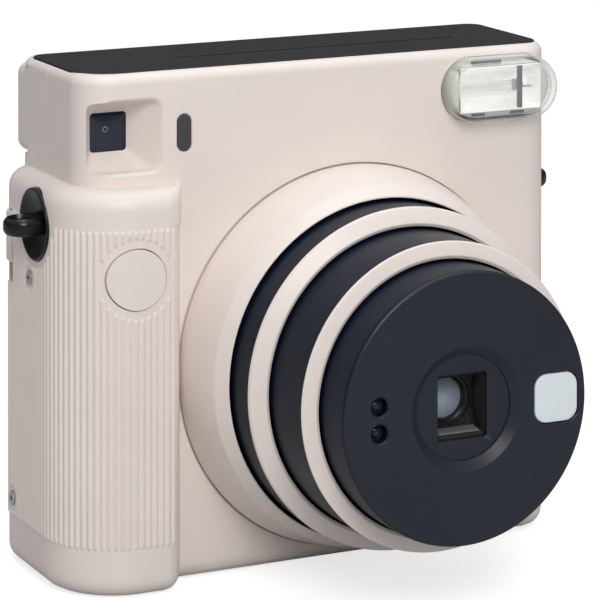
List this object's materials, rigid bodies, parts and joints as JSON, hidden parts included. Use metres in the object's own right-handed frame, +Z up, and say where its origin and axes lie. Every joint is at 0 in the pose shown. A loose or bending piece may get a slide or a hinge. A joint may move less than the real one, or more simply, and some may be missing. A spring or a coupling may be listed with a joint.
{
  "type": "instant camera",
  "caption": "Square-format instant film camera with a telescoping lens turned out by a control ring, ribbed grip, flash, viewfinder and a rear film door.",
  "frame": {"origin": "middle of the base, at half the overall body width and half the depth of the body block", "axes": "+X to the right seen from the front, +Y from the lens towards the film door, +Z up"},
  "size_m": [0.1442, 0.0998, 0.1187],
  "materials": {
    "cream_shell": "fine satin moulded plastic",
    "charcoal_barrel": "satin dark blue-grey plastic",
    "black_satin": "fine textured black plastic",
    "black_gloss": "glossy black plastic",
    "inner_black": "matt anti-reflection black plastic",
    "inner_grey": "plain grey moulded plastic",
    "clear_window": "clear moulded cover",
    "dark_window": "dark tinted window",
    "lens_glass": "coated lens",
    "mirror_face": "convex plastic mirror",
    "reflector": "bright bare reflector",
    "bright_steel": "turned steel",
    "spring_steel": "spring wire",
    "roller_rubber": "ground rubber",
    "bronze": "sintered bronze",
    "gear_plastic": "natural acetal",
    "board_green": "lacquered circuit board",
    "battery_jacket": "printed cell jacket",
    "capacitor_jacket": "sleeved can",
    "motor_can": "pressed can",
    "film_card": "film sheets"
  },
  "bodies": {
    "camera_body": {"front_cover": "cream_shell", "rear_cover": "cream_shell", "top_plate": "black_satin", "cover_screws": "bright_steel", "viewfinder_front_lens": "dark_window", "viewfinder_tube": "inner_black", "eyepiece_surround": "cream_shell", "eyepiece_lens": "dark_window", "light_sensor_window": "dark_window", "flash_window": "clear_window", "flash_reflector": "reflector", "xenon_tube": "clear_window", "strap_lugs": "black_gloss", "lens_base": "inner_black", "button_switch": "inner_black", "button_spring": "spring_steel", "film_chamber": "inner_black", "film_pack": "inner_black", "film_stack": "film_card", "film_door_hinge_pin": "bright_steel", "counter_window": "clear_window", "counter_axle": "inner_grey", "roller_frame": "bright_steel", "roller_bearings": "bronze", "idler_axle": "bright_steel", "eject_motor": "motor_can", "batteries": "battery_jacket", "battery_contacts": "bronze", "battery_door_pin": "bright_steel", "main_board": "board_green", "flash_capacitor": "capacitor_jacket"},
    "control_ring": {"control_ring": "cream_shell"},
    "outer_barrel": {"outer_barrel": "charcoal_barrel", "outer_bezel": "cream_shell"},
    "inner_barrel": {"inner_barrel": "charcoal_barrel", "inner_bezel": "cream_shell"},
    "front_barrel": {"front_barrel": "charcoal_barrel", "selfie_mirror": "mirror_face", "sensor_lenses": "lens_glass", "lens_hood": "inner_black", "lens_cell": "inner_black", "front_lens": "lens_glass", "lens_holder": "inner_black", "rear_lens": "lens_glass"},
    "barrier_upper": {"barrier_blade_upper": "black_satin"},
    "barrier_lower": {"barrier_blade_lower": "black_satin"},
    "shutter_left": {"shutter_blade_left": "spring_steel"},
    "shutter_right": {"shutter_blade_right": "spring_steel"},
    "shutter_button": {"shutter_button": "cream_shell"},
    "film_door": {"film_door": "cream_shell", "pack_window": "clear_window", "pressure_springs": "spring_steel"},
    "door_latch": {"door_latch": "cream_shell"},
    "battery_door": {"battery_door": "cream_shell"},
    "front_roller": {"front_roller": "roller_rubber"},
    "rear_roller": {"rear_roller": "roller_rubber"},
    "idler_gear": {"idler_gear": "gear_plastic"},
    "motor_pinion": {"motor_pinion": "bronze"},
    "film_claw": {"film_claw": "bright_steel"},
    "counter_dial": {"counter_dial": "film_card"}
  },
  "joints": [
    {"name": "control_ring_turn", "type": "hinge", "parent": "camera_body", "child": "control_ring", "pos_m": [0.00996, -0.028, 0.04832], "axis": [0, -1, 0], "range_deg": [-80.5, 10.5]},
    {"name": "outer_barrel_slide", "type": "slide", "parent": "camera_body", "child": "outer_barrel", "axis": [0, -1, 0], "range_m": [-0.0114, 0.00143]},
    {"name": "inner_barrel_slide", "type": "slide", "parent": "outer_barrel", "child": "inner_barrel", "axis": [0, -1, 0], "range_m": [-0.017, 0.0023]},
    {"name": "front_barrel_slide", "type": "slide", "parent": "inner_barrel", "child": "front_barrel", "axis": [0, -1, 0], "range_m": [-0.0112, 0.0015]},
    {"name": "barrier_upper_slide", "type": "slide", "parent": "front_barrel", "child": "barrier_upper", "axis": [0, 0, 1], "range_m": [-0.0072, 0.001]},
    {"name": "barrier_lower_slide", "type": "slide", "parent": "front_barrel", "child": "barrier_lower", "axis": [0, 0, -1], "range_m": [-0.0072, 0.001]},
    {"name": "shutter_left_swing", "type": "hinge", "parent": "front_barrel", "child": "shutter_left", "pos_m": [-0.00104, -0.0622, 0.04832], "axis": [0, -1, 0], "range_deg": [0, 50]},
    {"name": "shutter_right_swing", "type": "hinge", "parent": "front_barrel", "child": "shutter_right", "pos_m": [0.02096, -0.0628, 0.04832], "axis": [0, -1, 0], "range_deg": [0, 50]},
    {"name": "shutter_button_press", "type": "slide", "parent": "camera_body", "child": "shutter_button", "axis": [0, 1, 0], "range_m": [0, 0.0015], "stiffness_N_per_m": 600, "springref_m": -0.001, "deforming": ["button_spring"]},
    {"name": "film_door_swing", "type": "hinge", "parent": "camera_body", "child": "film_door", "pos_m": [0.06, 0.0182, 0.0518], "axis": [0, 0, -1], "range_deg": [0, 95]},
    {"name": "door_latch_slide", "type": "slide", "parent": "camera_body", "child": "door_latch", "axis": [0, 0, -1], "range_m": [0, 0.0035]},
    {"name": "battery_door_swing", "type": "hinge", "parent": "camera_body", "child": "battery_door", "pos_m": [-0.04, -0.0118, 0.0012], "axis": [0, -1, 0], "range_deg": [0, 95]},
    {"name": "front_roller_turn", "type": "hinge", "parent": "camera_body", "child": "front_roller", "pos_m": [0.00996, -0.0045, 0.1055], "axis": [1, 0, 0], "continuous": true},
    {"name": "rear_roller_turn", "type": "hinge", "parent": "camera_body", "child": "rear_roller", "pos_m": [0.00996, 0.0035, 0.1055], "axis": [1, 0, 0], "continuous": true},
    {"name": "idler_gear_turn", "type": "hinge", "parent": "camera_body", "child": "idler_gear", "pos_m": [-0.0357, -0.0045, 0.0935], "axis": [1, 0, 0], "continuous": true},
    {"name": "motor_pinion_turn", "type": "hinge", "parent": "camera_body", "child": "motor_pinion", "pos_m": [-0.0357, -0.0045, 0.082], "axis": [1, 0, 0], "continuous": true},
    {"name": "film_claw_slide", "type": "slide", "parent": "camera_body", "child": "film_claw", "axis": [0, 0, 1], "range_m": [0, 0.006]},
    {"name": "counter_dial_turn", "type": "hinge", "parent": "camera_body", "child": "counter_dial", "pos_m": [0.05, 0.0125, 0.1076], "axis": [0, 1, 0], "range_deg": [0, 300]}
  ],
  "couplings": [
    {"joint": "control_ring_turn", "follows": "outer_barrel_slide", "rad_per_m": 122.48},
    {"joint": "inner_barrel_slide", "follows": "outer_barrel_slide", "ratio": 1.4825},
    {"joint": "front_barrel_slide", "follows": "outer_barrel_slide", "ratio": 0.97368},
    {"joint": "barrier_upper_slide", "follows": "outer_barrel_slide", "ratio": 0.62281},
    {"joint": "barrier_lower_slide", "follows": "outer_barrel_slide", "ratio": 0.62281},
    {"joint": "shutter_right_swing", "follows": "shutter_left_swing", "ratio": 1},
    {"joint": "rear_roller_turn", "follows": "front_roller_turn", "ratio": -1},
    {"joint": "idler_gear_turn", "follows": "front_roller_turn", "ratio": -0.5},
    {"joint": "motor_pinion_turn", "follows": "front_roller_turn", "ratio": 1.1429}
  ]
}
